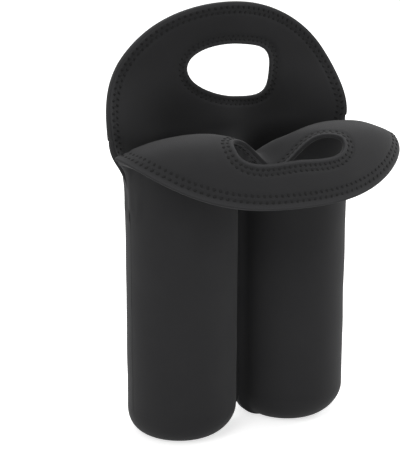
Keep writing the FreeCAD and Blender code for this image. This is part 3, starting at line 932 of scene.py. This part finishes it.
def sewn_line(name, legs_list, shade_dot_radius):
    """One piece of sewing: an arched stitch for each leg (start, end, face normal), with a dot of painted
    shade of this radius at each needle hole.
    """
    starts, ends, lifts = (np.vstack(part) for part in zip(*legs_list))
    points = bpy.data.meshes.new(name + "_points")
    points.from_pydata(((starts + ends) / 2).tolist(), [], [])
    for attribute, values in (("leg", ends - starts), ("lift", lifts)):
        kept = points.attributes.new(attribute, "FLOAT_VECTOR", "POINT")
        kept.data.foreach_set("vector", values.astype(np.float32).ravel())
    marks = bpy.data.objects.new(name + "_points", points)
    bpy.context.scene.collection.objects.link(marks)
    modifier = marks.modifiers.new("stitches", "NODES")
    modifier.node_group = stitching
    values = {"Thread Radius": thread_radius, "Arch Height": thread_arch, "Sink Depth": thread_sink,
              "Shade Dot Radius": shade_dot_radius, "Thread": thread}
    for item in stitching.interface.items_tree:
        if item.in_out == "INPUT" and item.name in values:
            modifier[item.identifier] = values[item.name]
    depsgraph = bpy.context.evaluated_depsgraph_get()
    mesh = bpy.data.meshes.new_from_object(marks.evaluated_get(depsgraph))
    mesh.name = name
    mesh.shade_smooth()
    bpy.data.objects.remove(marks)
    bpy.data.meshes.remove(points)
    piece = bpy.data.objects.new(name, mesh)
    bpy.context.scene.collection.objects.link(piece)
    return piece


def zigzag_legs(first_row, second_row, pitch):
    """Legs of a zigzag between two rows of (points, normals) on one face of a panel."""
    count = int(path_lengths(first_row[0])[-1] / pitch)
    first = even_path(first_row[0], 2 * count + 1)[0::2]
    second = even_path(second_row[0], 2 * count + 1)[1::2]
    lifts = even_path(first_row[1], 2 * count + 1, first_row[0])
    starts = np.empty((2 * count, 3))
    ends = np.empty((2 * count, 3))
    starts[0::2] = first[:-1]
    ends[0::2] = second
    starts[1::2] = second
    ends[1::2] = first[1:]
    return starts, ends, lifts[:-1]


def turned_edge_legs(panel, ladders, gaps, rows, pitch):
    """The zigzag along a turned edge, on both faces of the panel."""
    legs = []
    for surface, facing in ((panel.near, -panel.normals), (panel.far, panel.normals)):
        first = ladder_row(ladders, gaps, rows[0], surface, facing)
        second = ladder_row(ladders, gaps, rows[1], surface, facing)
        legs.append(zigzag_legs(first, second, pitch))
    return legs


def rim_ladders(loops, side_rows):
    """Rows of point numbers from the rim inwards, and from this many rows of the mouth's two sides."""
    left = [row + np.arange(side_ladder_steps) for row in mouth_left[len(mouth_left) - side_rows:]]
    right = [row - np.arange(side_ladder_steps) for row in mouth_right[len(mouth_right) - side_rows:]]
    loop_table = np.array(loops)
    rim = [loop_table[:, column] for column in range(loop_table.shape[1] - 1, columns - 1, -1)]
    return left + rim + right[::-1]


def grip_ladders(loops):
    """Rows of point numbers from the hand hole outwards, once round it."""
    loop_table = np.array(loops)[::-1]
    order = list(range(loop_table.shape[1])) + [0]
    return [loop_table[:, column] for column in order]


def rim_legs(panel, side_rows):
    ladders = rim_ladders(panel.loops, side_rows)
    return turned_edge_legs(panel, ladders, panel.rim_gap, panel.rim_rows, rim_pitch)


def grip_legs(panel, pitch):
    ladders = grip_ladders(panel.loops)
    return turned_edge_legs(panel, ladders, panel.grip_gap, panel.grip_rows, pitch)


front_rim_thread = sewn_line("front_rim_thread", rim_legs(front_cloth, 0), needle_dot_radius)
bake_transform(front_rim_thread)
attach(front_rim_thread, "pouches")
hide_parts("front_rim_stitches")
front_grip_thread = sewn_line("front_grip_thread", grip_legs(front_cloth, front_grip_pitch), needle_dot_radius)
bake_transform(front_grip_thread)
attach(front_grip_thread, "pouches")
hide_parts("front_grip_stitches")
back_rim_thread = sewn_line("back_rim_thread", rim_legs(back_cloth, sewn_mouth_rows), needle_dot_radius)
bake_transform(back_rim_thread)
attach(back_rim_thread, "pouches")
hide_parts("back_rim_stitches")
back_grip_thread = sewn_line("back_grip_thread", grip_legs(back_cloth, back_grip_pitch), small_needle_dot_radius)
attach(back_grip_thread, "back_handle")
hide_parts("back_grip_stitches")


def plain_legs(path, facing):
    """Plain stitches along a path, each facing off the cloth."""
    lengths = path_lengths(path)
    count = int((lengths[-1] - seam_stitch) / seam_pitch) + 1
    first = np.arange(count) * seam_pitch + (lengths[-1] - (count - 1) * seam_pitch - seam_stitch) / 2
    starts = np.column_stack([np.interp(first, lengths, column) for column in path.T])
    ends = np.column_stack([np.interp(first + seam_stitch, lengths, column) for column in path.T])
    lifts = np.column_stack([np.interp(first, lengths, column) for column in facing.T])
    return starts, ends, lifts


seam_heights = np.array((foot_height, mouth_start))
centre_legs = []
for side in (-1, 1):
    path = np.array([(0, seam_y + side * (fabric + seam_gap), height) for height in seam_heights])
    centre_legs.append(plain_legs(path, np.tile((0, side, 0), (2, 1))))
centre_thread = sewn_line("centre_seam_thread", centre_legs, seam_dot_radius)
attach(centre_thread, "pouches")
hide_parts("centre_seam_stitches")
for name, side in (("left", -1), ("right", 1)):
    seam_x = np.array((half_pitch + foot_radius, half_pitch + mouth_radius)) - thread_sink
    path = np.column_stack((side * seam_x, np.full(2, seam_y), seam_heights))
    side_legs = plain_legs(path, np.tile((side, 0, 0), (2, 1)))
    side_thread = sewn_line(f"{name}_side_seam_thread", [side_legs], seam_dot_radius)
    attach(side_thread, "pouches")
    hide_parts(f"{name}_side_seam_stitches")
    turn = np.linspace(-base_seam_share, base_seam_share, base_seam_steps) * math.pi
    facing = np.column_stack((side * np.cos(turn), np.sin(turn), np.zeros(len(turn))))
    path = facing * (foot_radius - thread_sink) + (side * half_pitch, seam_y, foot_height)
    base_thread = sewn_line(f"{name}_base_seam_thread", [plain_legs(path, facing)], seam_dot_radius)
    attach(base_thread, "pouches")
    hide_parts(f"{name}_base_seam_stitches")


# Floor, light and camera
# A plain pale floor and a white surround, soft lamps, and the photograph's viewing angle.
# Floor and surround look white to the camera, and light the carrier less than they look.

floor_size = 6
floor_glow = 0.7
surround_light = 0.40
white = (1, 1, 1, 1)
floor_white = (0.9, 0.9, 0.9, 1)
floor_roughness = 0.9
lamp_aim = (0, 0, 0.17)
azimuth = math.radians(-28.673)
elevation = math.radians(16.224)
camera_distance = 1.450
camera_lens = 146.9
target_height = 0.150
aim_left = 0.0292
aim_up = 0.0126


def seen_rays(tree):
    """1 for rays that show the surround: straight to the camera, off a gloss or through a pane."""
    rays = new_node(tree, "ShaderNodeLightPath", (-900, -200))
    seen = rays.outputs["Is Camera Ray"]
    for place, kind in ((-700, "Is Glossy Ray"), (-500, "Is Transmission Ray")):
        either = new_node(tree, "ShaderNodeMath", (place, -200))
        either.operation = "MAXIMUM"
        tree.links.new(seen, either.inputs[0])
        tree.links.new(rays.outputs[kind], either.inputs[1])
        seen = either.outputs[0]
    return seen


bpy.ops.mesh.primitive_plane_add(size=floor_size, location=(0, 0, 0))
floor = bpy.context.object
floor.name = "floor"
floor_material = bpy.data.materials.new("pale_floor")
floor_material.use_nodes = True
floor_tree = floor_material.node_tree
floor_shader = floor_tree.nodes["Principled BSDF"]
floor_shader.inputs["Base Color"].default_value = floor_white
floor_shader.inputs["Roughness"].default_value = floor_roughness
floor_shader.inputs["Emission Color"].default_value = white
glow = new_node(floor_tree, "ShaderNodeMath", (-250, -200))
glow.operation = "MULTIPLY"
glow.inputs[1].default_value = floor_glow
floor_tree.links.new(seen_rays(floor_tree), glow.inputs[0])
floor_tree.links.new(glow.outputs[0], floor_shader.inputs["Emission Strength"])
floor.data.materials.append(floor_material)

world = bpy.data.worlds.new("white_surround")
world.use_nodes = True
bpy.context.scene.world = world
world_tree = world.node_tree
surround = world_tree.nodes["Background"]
surround.inputs["Color"].default_value = white
strength = new_node(world_tree, "ShaderNodeMapRange", (-300, 100))
strength.inputs["To Min"].default_value = surround_light
strength.inputs["To Max"].default_value = 1
world_tree.links.new(seen_rays(world_tree), strength.inputs["Value"])
world_tree.links.new(strength.outputs["Result"], surround.inputs["Strength"])


def soft_lamp(name, place, size, power):
    lamp = bpy.data.lights.new(name, "AREA")
    lamp.shape = "DISK"
    lamp.size = size
    lamp.energy = power
    lamp_object = bpy.data.objects.new(name, lamp)
    lamp_object.location = place
    lamp_object.rotation_euler = (Vector(lamp_aim) - Vector(place)).to_track_quat("-Z", "Y").to_euler()
    bpy.context.scene.collection.objects.link(lamp_object)


soft_lamp("left_lamp", place=(-1.2, -1.0, 1.4), size=1.0, power=10)
soft_lamp("right_lamp", place=(1.7, 0.0, 1.0), size=1.0, power=10)
soft_lamp("top_lamp", place=(0.1, 0.1, 1.9), size=1.2, power=17)

target = Vector((0, seam_y, target_height))
level = math.cos(elevation)
back = Vector((math.sin(azimuth) * level, -math.cos(azimuth) * level, math.sin(elevation)))
right = Vector((math.cos(azimuth), math.sin(azimuth), 0))
up = back.cross(right)
camera_data = bpy.data.cameras.new("camera")
camera_data.lens = camera_lens
camera = bpy.data.objects.new("camera", camera_data)
bpy.context.scene.collection.objects.link(camera)
camera.location = target + back * camera_distance
aim = target - right * aim_left + up * aim_up
camera.rotation_euler = (aim - camera.location).to_track_quat("-Z", "Y").to_euler()
bpy.context.scene.camera = camera
bpy.context.scene.view_settings.view_transform = "Standard"
